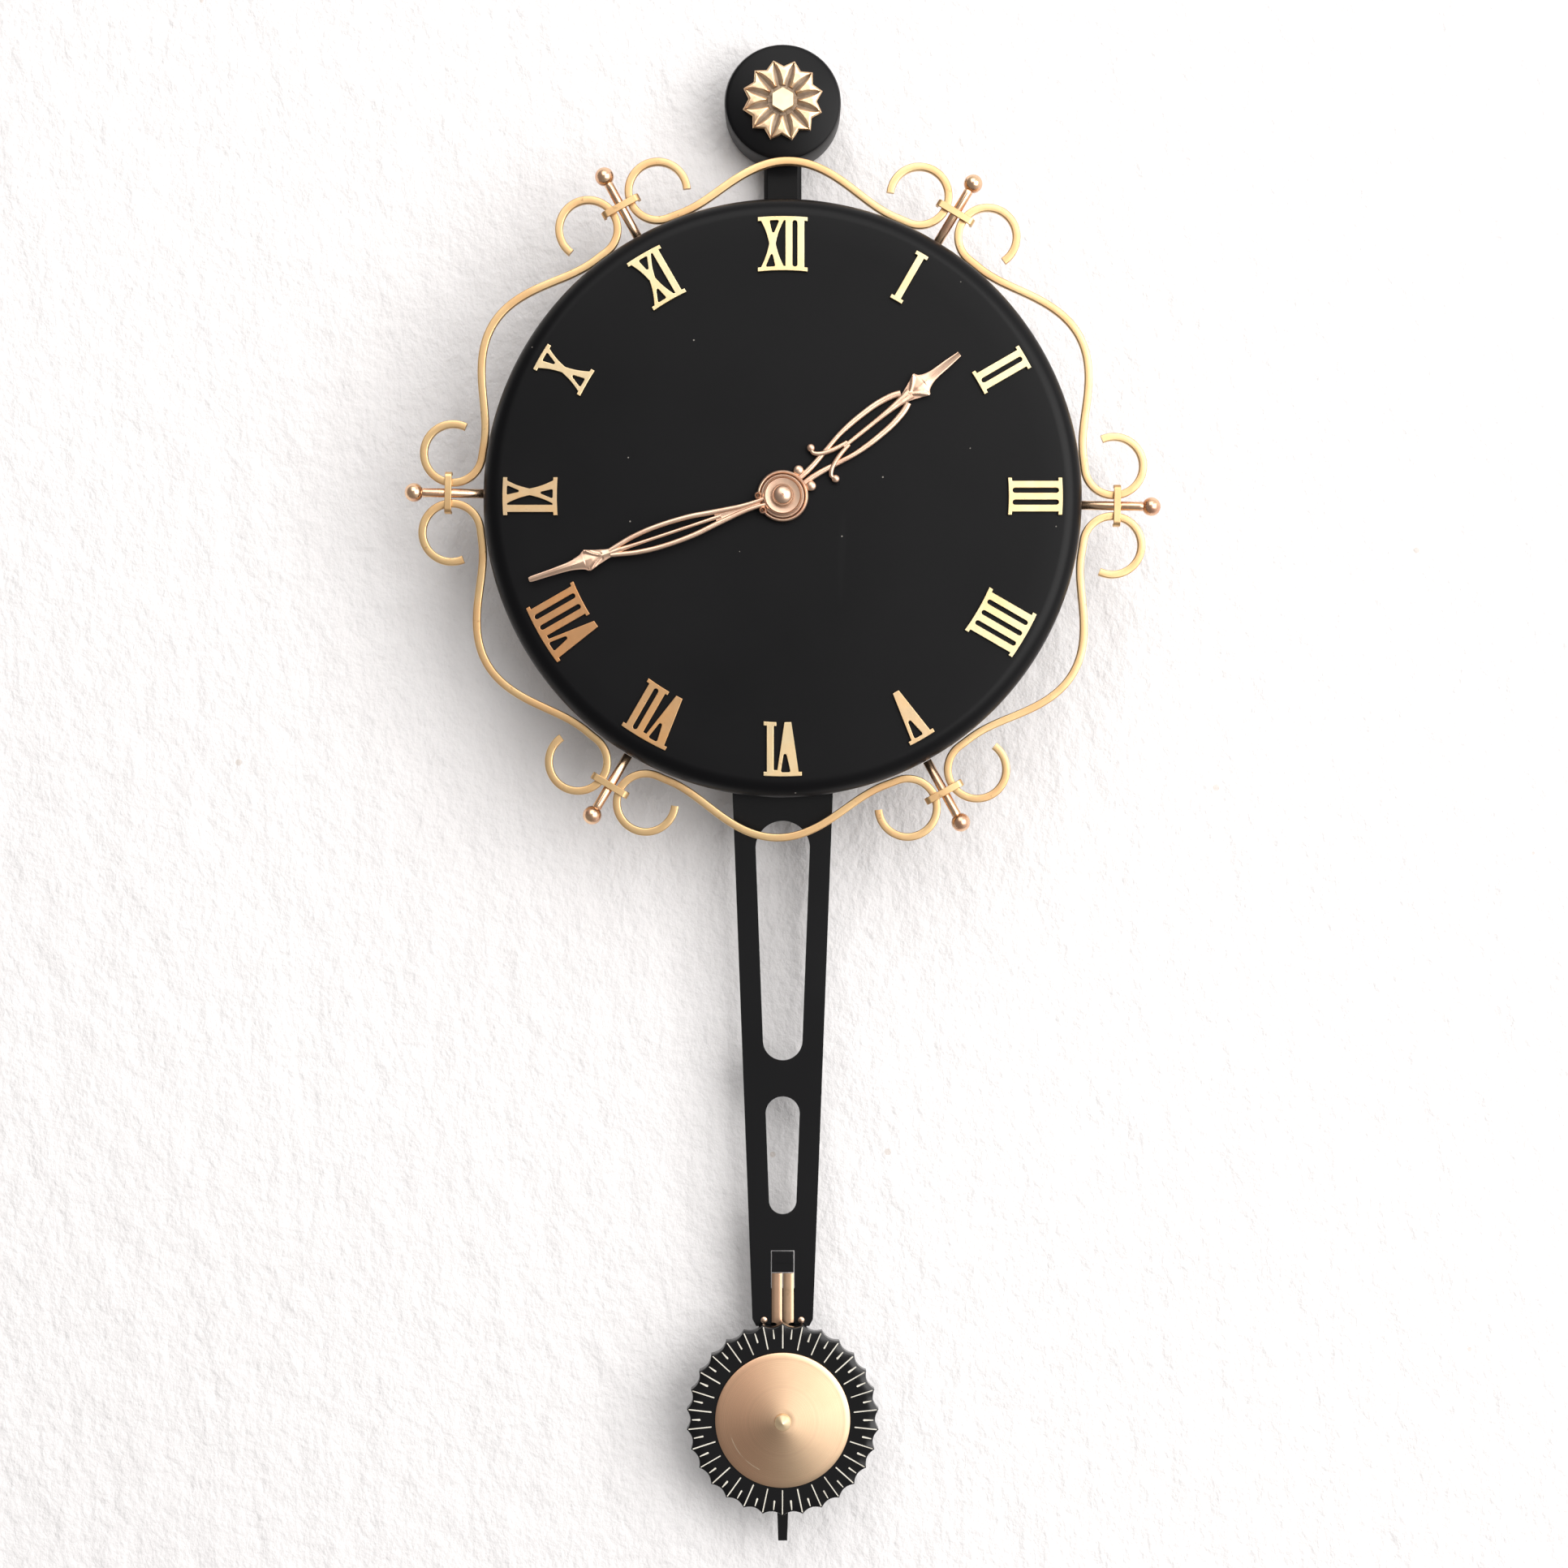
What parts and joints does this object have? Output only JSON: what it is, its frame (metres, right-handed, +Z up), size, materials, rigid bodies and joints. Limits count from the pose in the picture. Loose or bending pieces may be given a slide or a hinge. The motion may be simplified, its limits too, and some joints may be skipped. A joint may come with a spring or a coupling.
{
  "type": "pendulum wall clock",
  "caption": "Battery wall clock with a black round dial, applied brass Roman numerals, a brass scroll-wire surround, relief hands, and a swinging pendulum with a scalloped rating disc.",
  "frame": {"origin": "on the wall plane, behind the middle of the hanger cap, at the back face of the hanger plate", "axes": "+Z up along the clock's length, +Y into the wall, +X to the right of someone facing the dial"},
  "size_m": [0.2822, 0.0611, 0.5682],
  "materials": {
    "black_lacquer": "satin black lacquer on steel",
    "black_plastic": "moulded matte black",
    "numeral_brass": "polished yellow brass, stamped",
    "wire_brass": "drawn brass wire, lightly tarnished",
    "rose_brass": "rose-toned pressed brass with relief",
    "cone_brass": "brass spun and brushed in circles",
    "rosette_brass": "pale brass with brown patina in its grooves",
    "steel": "zinc-plated steel",
    "copper_coil": "enamelled copper winding",
    "battery_sleeve": "plain printed sleeve, no lettering"
  },
  "bodies": {
    "case": {"hanger_plate": "steel", "hanger_cap": "black_lacquer", "rosette": "rosette_brass", "rosette_bolt": "rosette_brass", "frame_strap": "black_lacquer", "dial_pan": "black_lacquer", "numeral_01": "numeral_brass", "numeral_02": "numeral_brass", "numeral_03": "numeral_brass", "numeral_04": "numeral_brass", "numeral_05": "numeral_brass", "numeral_06": "numeral_brass", "numeral_07": "numeral_brass", "numeral_08": "numeral_brass", "numeral_09": "numeral_brass", "numeral_10": "numeral_brass", "numeral_11": "numeral_brass", "numeral_12": "numeral_brass", "scroll_wire_1": "wire_brass", "scroll_wire_2": "wire_brass", "scroll_wire_3": "wire_brass", "scroll_wire_4": "wire_brass", "scroll_wire_5": "wire_brass", "scroll_wire_6": "wire_brass", "finial_1": "wire_brass", "finial_2": "wire_brass", "finial_3": "wire_brass", "finial_4": "wire_brass", "finial_5": "wire_brass", "finial_6": "wire_brass", "clasp_1": "wire_brass", "clasp_2": "wire_brass", "clasp_3": "wire_brass", "clasp_4": "wire_brass", "clasp_5": "wire_brass", "clasp_6": "wire_brass", "movement_housing": "black_plastic", "movement_front_plate": "black_plastic", "battery": "battery_sleeve", "battery_contact_minus": "steel", "drive_coil": "copper_coil", "step_motor": "black_plastic", "suspension_pin": "steel"},
    "pendulum": {"pendulum_arm": "black_lacquer", "drive_magnet": "steel", "spring_clamp": "black_plastic", "click_spring": "numeral_brass", "rivet_left": "rosette_brass", "rivet_right": "rosette_brass", "bob_carrier": "black_lacquer", "bob_nut": "cone_brass"},
    "rating_disc": {"rating_disc": "black_lacquer", "bob_cone": "cone_brass"},
    "minute_hand": {"minute_hand": "rose_brass", "hand_nut": "rose_brass", "centre_arbor": "steel"},
    "hour_hand": {"hour_hand": "rose_brass", "hour_wheel": "wire_brass"},
    "minute_wheel": {"minute_wheel": "wire_brass", "setting_knob": "steel"}
  },
  "joints": [
    {"name": "pendulum_swing", "type": "hinge", "parent": "case", "child": "pendulum", "pos_m": [0, -0.0195, -0.095], "axis": [0, 1, 0], "range_deg": [-3.5, 3.5]},
    {"name": "disc_turn", "type": "hinge", "parent": "pendulum", "child": "rating_disc", "pos_m": [0, -0.0208, -0.4984], "axis": [0, 1, 0], "range_deg": [-150, 150]},
    {"name": "minute_turn", "type": "hinge", "parent": "case", "child": "minute_hand", "pos_m": [0, -0.0562, -0.1523], "axis": [0, 1, 0], "continuous": true},
    {"name": "hour_turn", "type": "hinge", "parent": "case", "child": "hour_hand", "pos_m": [0, -0.054, -0.1523], "axis": [0, 1, 0], "continuous": true},
    {"name": "minute_wheel_turn", "type": "hinge", "parent": "case", "child": "minute_wheel", "pos_m": [0.0192, -0.041, -0.1523], "axis": [0, 1, 0], "continuous": true}
  ],
  "couplings": [
    {"joint": "hour_turn", "follows": "minute_turn", "ratio": 0.083333},
    {"joint": "minute_wheel_turn", "follows": "minute_turn", "ratio": -0.33333}
  ]
}
